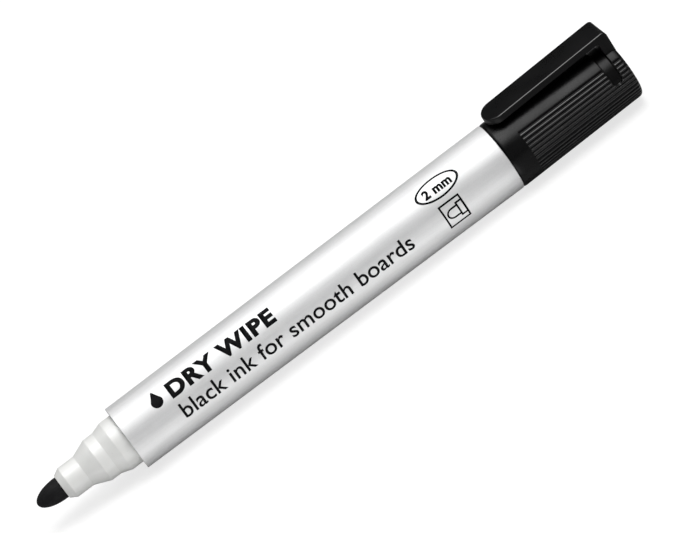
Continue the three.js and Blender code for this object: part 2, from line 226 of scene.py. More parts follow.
def skin(name, grid, finish, polish=None):
    """Mesh over a grid of points in millimetres.

    Neighbours along rows and columns make a quad, and points that coincide become one, which
    closes the seams and the poles. Faces are turned outwards. polish says how far each point is
    rubbed smooth by hands, 0 to 1, and goes with the mesh for its finish to read.
    """
    rows, columns = grid.shape[:2]
    index = np.arange(rows * columns).reshape(rows, columns)
    quads = np.stack([index[:-1, :-1], index[1:, :-1], index[1:, 1:], index[:-1, 1:]], -1)
    mesh = bpy.data.meshes.new(name)
    mesh.from_pydata(grid.reshape(-1, 3) * MM, [], quads.reshape(-1, 4))
    if polish is not None:
        layer = mesh.attributes.new("polish", "FLOAT", "POINT")
        layer.data.foreach_set("value", polish.astype(np.float32).ravel())
    shape = bmesh.new()
    shape.from_mesh(mesh)
    bmesh.ops.remove_doubles(shape, verts=shape.verts, dist=1e-7)
    bmesh.ops.dissolve_degenerate(shape, edges=shape.edges, dist=1e-8)
    if shape.calc_volume(signed=True) < 0:
        bmesh.ops.reverse_faces(shape, faces=shape.faces)
    shape.to_mesh(mesh)
    shape.free()
    mesh.shade_smooth()
    mesh.materials.append(finish)
    piece = bpy.data.objects.new(name, mesh)
    bpy.context.scene.collection.objects.link(piece)
    return piece


def about_axis(x, radius, angle):
    """Points at a distance from the axis, at an angle round it counted from straight up."""
    x, radius, angle = np.broadcast_arrays(x, radius, angle)
    return np.stack([x, -radius * np.sin(angle), AXIS_Z + radius * np.cos(angle)], -1)


def turned(name, outline, front, finish, columns=160):
    """Piece of revolution: the outline (x, radius) carried once round the axis."""
    angle = np.linspace(0, TAU, columns + 1)
    grid = about_axis(front + outline[:, :1], outline[:, 1:], angle[None, :])
    return skin(name, grid, finish)


# ------------------------------------------------------------------ material helpers

def shared_group(name, inputs, outputs):
    """Empty node group with named sockets; inputs map a name to (socket type, default)."""
    group = bpy.data.node_groups.new(name, "ShaderNodeTree")
    for label, (kind, default) in inputs.items():
        socket = group.interface.new_socket(label, in_out="INPUT", socket_type=kind)
        if default is not None:
            socket.default_value = default
    for label, kind in outputs.items():
        group.interface.new_socket(label, in_out="OUTPUT", socket_type=kind)
    start = group.nodes.new("NodeGroupInput")
    end = group.nodes.new("NodeGroupOutput")
    return group, start, end


def use_group(tree, group, **values):
    """Group placed in a tree with its own values; _ in a name stands for a space."""
    node = tree.nodes.new("ShaderNodeGroup")
    node.node_tree = group
    for name, value in values.items():
        node.inputs[name.replace("_", " ")].default_value = value
    return node


def finish_material(name, values):
    """Material with one Principled shader; values maps the shader's socket names to numbers."""
    material = bpy.data.materials.new(name)
    material.use_nodes = True
    shader = material.node_tree.nodes["Principled BSDF"]
    for label, value in values.items():
        shader.inputs[label].default_value = value
    return material, material.node_tree, shader


def object_place(tree):
    """Place on the piece in Object coordinates."""
    return tree.nodes.new("ShaderNodeTexCoord").outputs["Object"]


def blend_colours(tree, factor, low, high):
    """Colour that runs from low to high as the factor runs from 0 to 1."""
    mix = tree.nodes.new("ShaderNodeMix")
    mix.data_type = "RGBA"
    tree.links.new(factor, mix.inputs["Factor"])
    for label, colour in (("A", low), ("B", high)):
        socket = [s for s in mix.inputs if s.name == label and s.type == "RGBA"][0]
        if isinstance(colour, tuple):
            socket.default_value = (*colour, 1)
        else:
            tree.links.new(colour, socket)
    return [s for s in mix.outputs if s.type == "RGBA"][0]


def remap(tree, value, low, high, start=0.0, stop=1.0):
    """Value carried from start..stop to low..high."""
    node = tree.nodes.new("ShaderNodeMapRange")
    tree.links.new(value, node.inputs["Value"])
    node.inputs["From Min"].default_value = start
    node.inputs["From Max"].default_value = stop
    node.inputs["To Min"].default_value = low
    node.inputs["To Max"].default_value = high
    return node.outputs["Result"]


def combine(tree, operation, first, second):
    """Two values put together by a Math node; either may be a plain number."""
    node = tree.nodes.new("ShaderNodeMath")
    node.operation = operation
    for socket, value in zip(node.inputs, (first, second)):
        if isinstance(value, (int, float)):
            socket.default_value = value
        else:
            tree.links.new(value, socket)
    return node.outputs["Value"]


def weighted(tree, first, first_share, second, second_share):
    """Sum of two values, each times its share."""
    return combine(tree, "ADD", combine(tree, "MULTIPLY", first, first_share),
                   combine(tree, "MULTIPLY", second, second_share))


def stretched(tree, place, along, across):
    """Place scaled by different amounts along x and across it, which draws a pattern out."""
    mapping = tree.nodes.new("ShaderNodeMapping")
    mapping.inputs["Scale"].default_value = (along, across, across)
    tree.links.new(place, mapping.inputs["Vector"])
    return mapping.outputs["Vector"]


def noise(tree, place, scale, detail=2.0, roughness=0.5):
    """Soft noise, 0 to 1; the scale may be a number or a socket."""
    node = tree.nodes.new("ShaderNodeTexNoise")
    tree.links.new(place, node.inputs["Vector"])
    if isinstance(scale, (int, float)):
        node.inputs["Scale"].default_value = scale
    else:
        tree.links.new(scale, node.inputs["Scale"])
    node.inputs["Detail"].default_value = detail
    node.inputs["Roughness"].default_value = roughness
    return node.outputs["Fac"]


def raise_surface(tree, shader, height, distance, strength=1.0):
    """Bump of the given height in millimetres, fed to the shader's normal."""
    bump = tree.nodes.new("ShaderNodeBump")
    bump.inputs["Strength"].default_value = strength
    bump.inputs["Distance"].default_value = distance * MM
    tree.links.new(height, bump.inputs["Height"])
    tree.links.new(bump.outputs["Normal"], shader.inputs["Normal"])


# ------------------------------------------------------------------ effects that finishes share

def build_moulded_grain():
    """Spark-eroded mould grain over the slow waviness of a cooled moulding.

    Height is mostly fine grain with a little waviness. Shade is the waviness alone.
    """
    group, start, end = shared_group(
        "moulded_grain",
        {"Place": ("NodeSocketVector", None), "Grain": ("NodeSocketFloat", 4000.0),
         "Waviness": ("NodeSocketFloat", 160.0)},
        {"Height": "NodeSocketFloat", "Shade": "NodeSocketFloat"})
    fine = noise(group, start.outputs["Place"], start.outputs["Grain"], 3.0, 0.6)
    slow = noise(group, start.outputs["Place"], start.outputs["Waviness"], 2.0, 0.45)
    group.links.new(weighted(group, fine, 0.8, slow, 0.2), end.inputs["Height"])
    group.links.new(remap(group, slow, 0.0, 1.0, 0.3, 0.7), end.inputs["Shade"])
    return group


def build_drawn_streaks():
    """Streaks drawn out along x, and flakes that each have one random lightness."""
    group, start, end = shared_group(
        "drawn_streaks",
        {"Place": ("NodeSocketVector", None), "Fineness": ("NodeSocketFloat", 900.0),
         "Flake Scale": ("NodeSocketFloat", 9000.0)},
        {"Streak": "NodeSocketFloat", "Flake": "NodeSocketFloat"})
    drawn = stretched(group, start.outputs["Place"], 0.06, 1.0)
    streak = noise(group, drawn, start.outputs["Fineness"], 4.0, 0.6)
    group.links.new(remap(group, streak, 0.0, 1.0, 0.3, 0.7), end.inputs["Streak"])
    flakes = group.nodes.new("ShaderNodeTexVoronoi")
    flakes.inputs["Randomness"].default_value = 1.0
    group.links.new(start.outputs["Place"], flakes.inputs["Vector"])
    group.links.new(start.outputs["Flake Scale"], flakes.inputs["Scale"])
    parts = group.nodes.new("ShaderNodeSeparateColor")
    group.links.new(flakes.outputs["Color"], parts.inputs["Color"])
    group.links.new(parts.outputs["Red"], end.inputs["Flake"])
    return group


def build_settled_dust():
    """Mask of small specks that gather in patches."""
    group, start, end = shared_group(
        "settled_dust",
        {"Place": ("NodeSocketVector", None), "Amount": ("NodeSocketFloat", 0.3)},
        {"Mask": "NodeSocketFloat"})
    specks = group.nodes.new("ShaderNodeTexVoronoi")
    specks.inputs["Scale"].default_value = 700.0
    group.links.new(start.outputs["Place"], specks.inputs["Vector"])
    near = remap(group, specks.outputs["Distance"], 1.0, 0.0, 0.05, 0.13)
    patches = remap(group, noise(group, start.outputs["Place"], 120.0), 0.0, 1.0, 0.48, 0.62)
    amount = combine(group, "MULTIPLY", combine(group, "MULTIPLY", near, patches),
                     start.outputs["Amount"])
    group.links.new(amount, end.inputs["Mask"])
    return group


moulded_grain = build_moulded_grain()
drawn_streaks = build_drawn_streaks()
settled_dust = build_settled_dust()


def grain_in(tree, grain, waviness):
    """Height and shade of the mould grain."""
    node = use_group(tree, moulded_grain, Grain=grain, Waviness=waviness)
    tree.links.new(object_place(tree), node.inputs["Place"])
    return node.outputs["Height"], node.outputs["Shade"]


def streaks_in(tree, fineness, flake_scale):
    """Streaks along x and the lightness of each flake."""
    node = use_group(tree, drawn_streaks, Fineness=fineness, Flake_Scale=flake_scale)
    tree.links.new(object_place(tree), node.inputs["Place"])
    return node.outputs["Streak"], node.outputs["Flake"]


def dust_in(tree, amount):
    """Mask of the dust."""
    node = use_group(tree, settled_dust, Amount=amount)
    tree.links.new(object_place(tree), node.inputs["Place"])
    return node.outputs["Mask"]


# ------------------------------------------------------------------ finishes

def silver_pearl():
    """Barrel: polypropylene with aluminium flake, drawn into faint streaks by the mould's flow."""
    material, tree, shader = finish_material("silver_pearl", {
        "Metallic": 0.60, "IOR": 1.49, "Coat Weight": 0.05, "Coat Roughness": 0.3})
    streak, flake = streaks_in(tree, 700.0, 8000.0)
    grain, shade = grain_in(tree, 5200.0, 130.0)
    tone = weighted(tree, streak, 0.55, flake, 0.45)
    colour = blend_colours(tree, tone, (0.675, 0.677, 0.679), (0.79, 0.791, 0.792))
    colour = blend_colours(tree, dust_in(tree, 0.15), colour, (0.62, 0.61, 0.59))
    tree.links.new(colour, shader.inputs["Base Color"])
    rough = combine(tree, "ADD", remap(tree, flake, 0.51, 0.63), remap(tree, shade, 0.0, 0.04))
    tree.links.new(rough, shader.inputs["Roughness"])
    raise_surface(tree, shader, weighted(tree, grain, 0.7, flake, 0.3), 0.010, 0.5)
    return material


def natural_plastic():
    """Front section: unpigmented plastic, slightly milky, with a faint grey-green cast."""
    material, tree, shader = finish_material("natural_plastic", {
        "IOR": 1.49, "Subsurface Weight": 0.05, "Subsurface Scale": 0.0005,
        "Subsurface Radius": (1.0, 1.0, 0.9), "Specular IOR Level": 1.0,
        "Coat Weight": 0.3, "Coat Roughness": 0.25})
    grain, shade = grain_in(tree, 3600.0, 240.0)
    streak, _ = streaks_in(tree, 420.0, 6000.0)
    tone = weighted(tree, shade, 0.6, streak, 0.4)
    colour = blend_colours(tree, tone, (0.745, 0.749, 0.73), (0.825, 0.827, 0.81))
    colour = blend_colours(tree, dust_in(tree, 0.2), colour, (0.45, 0.44, 0.41))
    tree.links.new(colour, shader.inputs["Base Color"])
    tree.links.new(remap(tree, grain, 0.34, 0.48, 0.3, 0.7), shader.inputs["Roughness"])
    raise_surface(tree, shader, grain, 0.008, 0.6)
    return material


def seal_plastic():
    """Inner cap: soft, pale and waxy."""
    material, tree, shader = finish_material("seal_plastic", {
        "IOR": 1.5, "Subsurface Weight": 0.3, "Subsurface Scale": 0.001})
    grain, shade = grain_in(tree, 2600.0, 200.0)
    colour = blend_colours(tree, shade, (0.74, 0.74, 0.70), (0.86, 0.86, 0.83))
    tree.links.new(colour, shader.inputs["Base Color"])
    tree.links.new(remap(tree, grain, 0.42, 0.58, 0.3, 0.7), shader.inputs["Roughness"])
    raise_surface(tree, shader, grain, 0.02, 0.5)
    return material


def black_plastic(name, grain_scale, rough_low, rough_high, relief):
    """Cap and plug: black plastic from a grained mould, glossy where hands have polished it."""
    material, tree, shader = finish_material(name, {
        "IOR": 1.5, "Specular IOR Level": 0.165, "Coat Roughness": 0.14})
    handled = tree.nodes.new("ShaderNodeAttribute")
    handled.attribute_name = "polish"
    tree.links.new(remap(tree, handled.outputs["Fac"], 0.0, 0.9), shader.inputs["Coat Weight"])
    grain, shade = grain_in(tree, grain_scale, 170.0)
    _, flake = streaks_in(tree, 800.0, 5200.0)
    tone = weighted(tree, shade, 0.5, flake, 0.5)
    colour = blend_colours(tree, tone, (0.0008, 0.0008, 0.0009), (0.0024, 0.0024, 0.0026))
    colour = blend_colours(tree, dust_in(tree, 0.10), colour, (0.10, 0.097, 0.093))
    tree.links.new(colour, shader.inputs["Base Color"])
    rough = combine(tree, "ADD", remap(tree, grain, rough_low, rough_high, 0.3, 0.7),
                    remap(tree, shade, -0.03, 0.03))
    tree.links.new(rough, shader.inputs["Roughness"])
    raise_surface(tree, shader, grain, relief, 0.6)
    return material


def inked_felt():
    """Nib: hard acrylic felt soaked in black ink, its fibres running lengthwise."""
    material, tree, shader = finish_material("inked_felt", {
        "IOR": 1.45, "Specular IOR Level": 0.25, "Sheen Weight": 0.03, "Sheen Roughness": 0.5})
    streak, flake = streaks_in(tree, 3200.0, 7000.0)
    grain, shade = grain_in(tree, 2500.0, 500.0)
    fibre = weighted(tree, streak, 0.65, flake, 0.35)
    tree.links.new(blend_colours(tree, fibre, (0.0015, 0.0015, 0.0018), (0.008, 0.008, 0.009)),
                   shader.inputs["Base Color"])
    tree.links.new(remap(tree, shade, 0.62, 0.85), shader.inputs["Roughness"])
    raise_surface(tree, shader, weighted(tree, fibre, 0.6, grain, 0.4), 0.05, 0.8)
    return material


def reservoir_fibre():
    """Reservoir: a bundle of ink-soaked fibres, all lengthwise."""
    material, tree, shader = finish_material("reservoir_fibre", {"IOR": 1.45})
    streak, flake = streaks_in(tree, 2200.0, 4000.0)
    tree.links.new(blend_colours(tree, streak, (0.006, 0.006, 0.008), (0.05, 0.05, 0.06)),
                   shader.inputs["Base Color"])
    tree.links.new(remap(tree, flake, 0.75, 0.95), shader.inputs["Roughness"])
    raise_surface(tree, shader, streak, 0.12, 0.9)
    return material


def reservoir_film():
    """Sleeve round the reservoir: thin pale film with lengthwise wrinkles."""
    material, tree, shader = finish_material("reservoir_film", {"IOR": 1.5})
    streak, _ = streaks_in(tree, 500.0, 3000.0)
    grain, shade = grain_in(tree, 900.0, 120.0)
    tree.links.new(blend_colours(tree, streak, (0.60, 0.62, 0.64), (0.82, 0.84, 0.86)),
                   shader.inputs["Base Color"])
    tree.links.new(remap(tree, shade, 0.14, 0.3), shader.inputs["Roughness"])
    raise_surface(tree, shader, weighted(tree, streak, 0.8, grain, 0.2), 0.06, 0.7)
    return material


def screen_ink():
    """Print: black ink, a little glossier than the barrel, laid on unevenly."""
    material, tree, shader = finish_material("screen_ink", {"IOR": 1.48, "Specular IOR Level": 0.05})
    grain, shade = grain_in(tree, 3000.0, 500.0)
    tree.links.new(blend_colours(tree, shade, (0.002, 0.002, 0.0024), (0.006, 0.006, 0.007)),
                   shader.inputs["Base Color"])
    tree.links.new(remap(tree, grain, 0.42, 0.6, 0.3, 0.7), shader.inputs["Roughness"])
    raise_surface(tree, shader, grain, 0.006, 0.5)
    return material


def pale_floor():
    """Floor: matt grey table with a painted glow.

    To the camera alone it glows white and shows a darker grey colour, which paints it evenly white
    and paints its shadow faint. The light that it throws back at the marker comes from its plain
    grey colour alone, so the marker's underside keeps its shade.
    """
    # Emission Strength is the strength of the painted glow
    material, tree, shader = finish_material("pale_floor", {
        "Specular IOR Level": 0.15, "Emission Strength": 0.745})
    # painted glow: only the camera's rays see the floor glow white
    straight = tree.nodes.new("ShaderNodeLightPath").outputs["Is Camera Ray"]
    tree.links.new(blend_colours(tree, straight, (0.0, 0.0, 0.0), (1.0, 1.0, 1.0)),
                   shader.inputs["Emission Color"])
    grain, shade = grain_in(tree, 900.0, 3.0)
    colour = blend_colours(tree, shade, (0.46, 0.46, 0.46), (0.48, 0.48, 0.48))
    # painted glow: to the camera the floor's colour is a darker grey, which paints its shadow faint
    tree.links.new(blend_colours(tree, straight, colour, (0.30, 0.30, 0.30)),
                   shader.inputs["Base Color"])
    tree.links.new(remap(tree, shade, 0.85, 0.95), shader.inputs["Roughness"])
    raise_surface(tree, shader, grain, 0.01, 0.1)
    return material


silver = silver_pearl()
natural = natural_plastic()
pale_seal = seal_plastic()
cap_black = black_plastic("cap_black", 4200.0, 0.26, 0.37, 0.018)
plug_black = black_plastic("plug_black", 3400.0, 0.38, 0.52, 0.020)
felt = inked_felt()
ink = screen_ink()

# ------------------------------------------------------------------ pieces of the body

def barrel_outline():
    """Wall of the barrel: tapered outside, lip in front, straight bore, counterbore behind."""
    length = BARREL_REAR - BARREL_FRONT
    lip = SEAT_RADIUS + LIP_GAP
    return rounded_outline([
        (0, lip, 0.06),
        (0, BARREL_FRONT_RADIUS, 0.17),
        (length, BARREL_REAR_RADIUS, 0.12),
        (length, COUNTERBORE_RADIUS, 0.05),
        (length - COUNTERBORE_DEPTH, COUNTERBORE_RADIUS, 0.05),
        (length - COUNTERBORE_DEPTH, BORE_RADIUS, 0.05),
        (LIP_THICKNESS, BORE_RADIUS, 0.08),
        (LIP_THICKNESS, lip, 0.05),
    ], loop=True)


def section_outline():
    """Wall of the front section, from its tip back to its skirt; 0 is the barrel's front."""
    tip = SECTION_TIP - BARREL_FRONT
    skirt = SKIRT_END - BARREL_FRONT
    bore = NIB_RADIUS + PRESS_GAP
    pressed = BORE_RADIUS - PRESS_GAP
    behind_lip = LIP_THICKNESS + END_GAP
    return rounded_outline([
        (tip, bore, 0.04),
        (tip, bore + TIP_RIM, 0.10),
        (tip + TIP_CHAMFER_END, TIP_LAND_RADIUS, 0.10),
        (tip + TIP_LAND_END, TIP_LAND_RADIUS, 0.12),
        (tip + TIP_CONE_END, SEAL_LAND_RADIUS, 0.10),
        (tip + SEAL_LAND_END, SEAL_LAND_RADIUS, 0.12),
        (tip + SEAT_CONE_END, SEAT_RADIUS, 0.10),
        (behind_lip, SEAT_RADIUS, 0.04),
        (behind_lip, pressed, 0.08),
        (skirt, pressed, 0.15),
        (skirt, RESERVOIR_RADIUS, 0.10),
        (SHELF_DEPTH, RESERVOIR_RADIUS, 0.05),
        (SHELF_DEPTH, SHELF_RADIUS, 0.10),
        (0, SHELF_RADIUS, 0.20),
        (-NIB_GRIP_INSET, bore, 0.10),
    ], loop=True, spacing=1.0)


def nib_outline():
    """Half-ellipse nose, straight rod and chamfered tail."""
    bend = np.linspace(0, math.pi / 2, 28)
    nose = np.stack([NIB_NOSE * (1 - np.cos(bend)), NIB_RADIUS * np.sin(bend)], -1)
    length = NIB_TAIL - NIB_TIP
    rest = rounded_outline([
        (NIB_NOSE + 0.5, NIB_RADIUS, 0),
        (length - NIB_CHAMFER, NIB_RADIUS, 0.15),
        (length, NIB_RADIUS - NIB_CHAMFER, 0.1),
        (length, 0, 0),
    ])
    return np.vstack([nose, rest])


def plug_outline():
    """Thimble with a flange and a stepped spigot; 0 is the barrel's rear end."""
    end = PLUG_END - BARREL_REAR
    front = PLUG_FRONT - BARREL_REAR
    skirt = BORE_RADIUS - PRESS_GAP
    hollow = SEAL_LAND_RADIUS - PLUG_WALL
    flange = END_GAP - COUNTERBORE_DEPTH
    flange_radius = COUNTERBORE_RADIUS - PRESS_GAP
    return rounded_outline([
        (end - PLUG_END_WALL, 0, 0),
        (end - PLUG_END_WALL, hollow, 0.3),
        (0, hollow, 0.3),
        (-PLUG_WALL, skirt - PLUG_WALL, 0.3),
        (front, skirt - PLUG_WALL, 0.1),
        (front, skirt, 0.15),
        (flange, skirt, 0.03),
        (flange, flange_radius, 0.05),
        (0, flange_radius, 0.08),
        (0, SEAT_RADIUS, 0.10),
        (SPIGOT_LAND_END, SEAT_RADIUS, 0.12),
        (SPIGOT_CONE_END, SEAL_LAND_RADIUS, 0.12),
        (end - PLUG_CHAMFER, SEAL_LAND_RADIUS, 0.12),
        (end, SEAL_LAND_RADIUS - PLUG_CHAMFER, 0.15),
        (end, 0, 0),
    ], spacing=1.2)


def seal_outline():
    """Inner cap: grip, taper, closed chamber and the stem that reaches the cap's end wall."""
    end = SEAL_END - SEAL_MOUTH
    closed_end = end - SEAL_STEM_LENGTH
    return rounded_outline([
        (closed_end - SEAL_END_WALL, 0, 0),
        (closed_end - SEAL_END_WALL, SEAL_CHAMBER_RADIUS, 0.4),
        (SEAL_TAPER_END, SEAL_CHAMBER_RADIUS, 0.2),
        (SEAL_GRIP_LENGTH, SEAL_GRIP_RADIUS, 0.2),
        (0, SEAL_GRIP_RADIUS, 0.12),
        (0, SEAL_OUTER_RADIUS, 0.15),
        (SEAL_GRIP_LENGTH, SEAL_OUTER_RADIUS, 0.2),
        (SEAL_TAPER_END, SEAL_CHAMBER_OUTER, 0.2),
        (closed_end, SEAL_CHAMBER_OUTER, 0.35),
        (closed_end, SEAL_STEM_RADIUS, 0.25),
        (end, SEAL_STEM_RADIUS, 0.15),
        (end, 0, 0),
    ], spacing=1.2)


barrel = turned("barrel", barrel_outline(), BARREL_FRONT, silver, 192)
section = turned("section", section_outline(), BARREL_FRONT, natural, 160)
nib = turned("felt_nib", nib_outline(), NIB_TIP, felt, 96)
plug = turned("plug", plug_outline(), BARREL_REAR, plug_black, 144)
inner_cap = turned("inner_cap", seal_outline(), SEAL_MOUTH, pale_seal, 128)


# ------------------------------------------------------------------ cap

def cap_surface(x):
    """Radius of the cap's tapered surface at a distance from its mouth."""
    return CAP_RADIUS - CAP_DRAFT * x / CAP_LENGTH


# a rib from the middle of its crest to the middle of a groove: share of the pitch, share of the depth
CREST_RUN = np.array([0, 0.06, 0.12, 0.17, 0.22, 0.27, 0.31, 0.35, 0.40, 0.46])
CREST_DROP = np.array([0, 0.017, 0.068, 0.142, 0.25, 0.41, 0.59, 0.79, 0.945, 1])


def rib_rows():
    """Angles round the cap: close together over every rib, further apart on the plain strip.

    One rib pitch is divided at fixed shares, finest on the two flanks of the rib.
    """
    shares = np.concatenate([CREST_RUN, [0.5], 1 - CREST_RUN[:0:-1]])
    starts = np.arange(RIB_FROM, TAU - RIB_FROM - 1e-6, RIB_PITCH)
    ribbed = (starts[:, None] + shares * RIB_PITCH).ravel()
    plain = np.linspace(-RIB_FROM, RIB_FROM, 61)[:-1]
    return np.concatenate([plain, ribbed, [TAU - RIB_FROM]])


def groove_share(angle):
    """How deep in a groove an angle lies: 0 on a rib's crest and on the strip, 1 in a groove.

    The crest is a circular arc that steepens into a short flank.
    """
    phase = (angle - RIB_FROM) / RIB_PITCH
    off_crest = np.abs(phase - np.round(phase))
    drop = np.interp(off_crest, CREST_RUN, CREST_DROP)
    ribbed = (angle > RIB_FROM) & (angle < TAU - RIB_FROM)
    return np.where(ribbed, drop, 0)


# the recess's wall: distance inside its outline, share of its depth
WALL_RUN = np.array([-0.5, -0.24, -0.18, -0.12, -0.06, -0.02, 0.0, 0.015, 0.03, 0.07, 0.14, 0.3])
WALL_SHARE = np.array([0, 0, 0.01, 0.04, 0.105, 0.18, 0.30, 0.6, 0.9, 0.97, 1, 1])


def cap_shell_grid():
    """Grid over the whole shell, from the middle of its bore's end round the mouth to the
    middle of its closed end.

    The outer radius is the tapered surface less the rib groove, never outside the rounded end,
    and less the recess. The recess is a slot with round ends: its depth follows the distance
    from the slot's outline, and the columns beside its walls move with that outline. The second
    grid is the polish of the rib crests and of the recess's rim.
    """
    angle = rib_rows()
    round_from = CAP_LENGTH - END_ROUND
    end_radius = cap_surface(CAP_LENGTH)

    bore = rounded_outline([
        (CAP_LENGTH - END_WALL, 0, 0),
        (CAP_LENGTH - END_WALL, CAP_CORE, 0.4),
        (CAP_CORE_FROM, CAP_CORE, 0.2),
        (CAP_BORE_END, CAP_BORE, 0.2),
        (MOUTH_LEAD_IN, CAP_BORE, 0.1),
        (0, CAP_BORE + MOUTH_LEAD_IN, 0.12),
        (0, CAP_RADIUS - MOUTH_ROUND[1], 0),
    ], spacing=3.0, arc_steps=3)[:-1]
    bend = np.linspace(0, math.pi / 2, 9)[1:-1]
    mouth = np.stack([MOUTH_ROUND[0] * (1 - np.cos(bend)),
                      CAP_RADIUS - MOUTH_ROUND[1] * (1 - np.sin(bend))], -1)
    before = np.concatenate([
        [0.0], mouth[:, 0], [MOUTH_ROUND[0]], np.linspace(1.2, RIB_START - 0.1, 6),
        RIB_START + np.array([-0.03, 0.0, 0.03, 0.06, 0.16]),
        np.linspace(RIB_START + 1, RECESS_MIDDLE - RECESS_HALF - 0.9, 7)])
    slot_left = RECESS_MIDDLE - RECESS_HALF + WALL_RUN
    slot_right = RECESS_MIDDLE + RECESS_HALF - WALL_RUN[::-1]
    after = np.array([round_from - 0.3, round_from - 0.08])
    turn = np.linspace(0, math.pi / 2, 13)
    rounded = round_from + END_ROUND * np.sin(turn)

    # arc distance past the centres of the slot's round ends
    from_top = np.minimum(angle % TAU, TAU - angle % TAU)
    past = np.clip((from_top - RECESS_REACH) * end_radius + RECESS_HALF, 0, None)
    half = np.sqrt(np.clip(RECESS_HALF ** 2 - past ** 2, 0.32 ** 2, None))
    drawn_in = (RECESS_HALF - half)[:, None]

    x = np.concatenate([before, slot_left, slot_right, after, rounded])
    x = np.repeat(x[None, :], len(angle), 0)
    first = len(before)
    x[:, first:first + len(WALL_RUN)] += drawn_in
    x[:, first + len(WALL_RUN):first + 2 * len(WALL_RUN)] -= drawn_in

    radius = cap_surface(x)
    lip = np.clip(1 - x / MOUTH_ROUND[0], 0, 1)
    radius -= MOUTH_ROUND[1] * (1 - np.sqrt(1 - lip ** 2))
    started = np.interp(x, RIB_START + np.array([0.0, 0.06]), [0, 1])
    groove = groove_share(angle)[:, None]
    radius -= RIB_DEPTH * groove * started
    to_end = np.clip((x - round_from) / END_ROUND, 0, 1)
    radius = np.minimum(radius, end_radius - END_ROUND + END_ROUND * np.sqrt(1 - to_end ** 2)
                        + np.where(x < round_from, 9, 0))
    inside = RECESS_HALF - np.hypot(x - RECESS_MIDDLE, past[:, None])
    share = np.interp(inside, WALL_RUN, WALL_SHARE)
    radius -= share * (radius - RECESS_FLOOR)

    first, last = RIB_FROM + 0.3 * RIB_PITCH, TAU - RIB_FROM - 0.3 * RIB_PITCH
    ribbed = ((angle > first) & (angle < last))[:, None]
    crest = np.interp(groove, [0.05, 0.25], [1, 0]) * started * ribbed * (share < 0.02)
    rim = np.interp(share, [0.02, 0.1, 0.9, 0.97], [0, 1, 1, 0])
    rubbed = np.maximum(crest, rim)

    inner = np.linspace(end_radius - END_ROUND, 0, 5)[1:]
    end_face = np.repeat(inner[None, :], len(angle), 0)
    all_x = np.hstack([np.repeat(bore[None, :, 0], len(angle), 0), x,
                       np.full_like(end_face, CAP_LENGTH)])
    all_radius = np.hstack([np.repeat(bore[None, :, 1], len(angle), 0), radius, end_face])
    polish = np.hstack([np.zeros((len(angle), len(bore))), rubbed, np.zeros_like(end_face)])
    return about_axis(CAP_MOUTH + all_x, all_radius, angle[:, None]), polish


def clip_underside(x):
    """Height of the clip's underside above the axis at x."""
    share = (x - CLIP_TIP) / (CAP_END - CLIP_TIP)
    return CLIP_LOW_TIP + (CLIP_LOW_ROOT - CLIP_LOW_TIP) * share


def clip_plan():
    """Outline of the clip seen from above, with its outward directions.

    It runs from the middle of the root edge along one side, round the half-ellipse of the tip
    and back along the other side. The root corners are small arcs.
    """
    corner = CLIP_CORNER
    straight_from = CLIP_TIP + CLIP_TIP_ROUND
    pillar = CAP_END - PILLAR_LENGTH
    across = np.array([0.0, 0.9, 1.8, 2.6, CLIP_HALF - corner - 0.1])
    quarter = np.linspace(0, math.pi / 2, 7)
    runs = np.concatenate([
        CAP_END - np.array([0.45, 0.6, 0.8, 1.0, 1.3, 1.8, 2.3]),
        pillar + np.array([0.03, 0.0, -0.02, -0.05, -0.1, -0.2, -0.5]),
        np.linspace(pillar - 1.4, straight_from + 0.2, 20)])
    bend = np.linspace(math.pi / 2, 0, 41)
    x = np.concatenate([np.full(len(across), CAP_END), CAP_END - corner + corner * np.cos(quarter),
                        runs, straight_from - CLIP_TIP_ROUND * np.cos(bend)])
    y = np.concatenate([across, CLIP_HALF - corner + corner * np.sin(quarter),
                        np.full(len(runs), CLIP_HALF), CLIP_HALF * np.sin(bend)])
    nx = np.concatenate([np.ones(len(across)), np.cos(quarter), np.zeros(len(runs)),
                         -np.cos(bend) / CLIP_TIP_ROUND])
    ny = np.concatenate([np.zeros(len(across)), np.sin(quarter), np.ones(len(runs)),
                         np.sin(bend) / CLIP_HALF])
    length = np.hypot(nx, ny)
    side = np.stack([x, y, nx / length, ny / length], -1)
    mirrored = side[-2::-1] * np.array([1, -1, 1, -1])
    return np.vstack([side, mirrored])


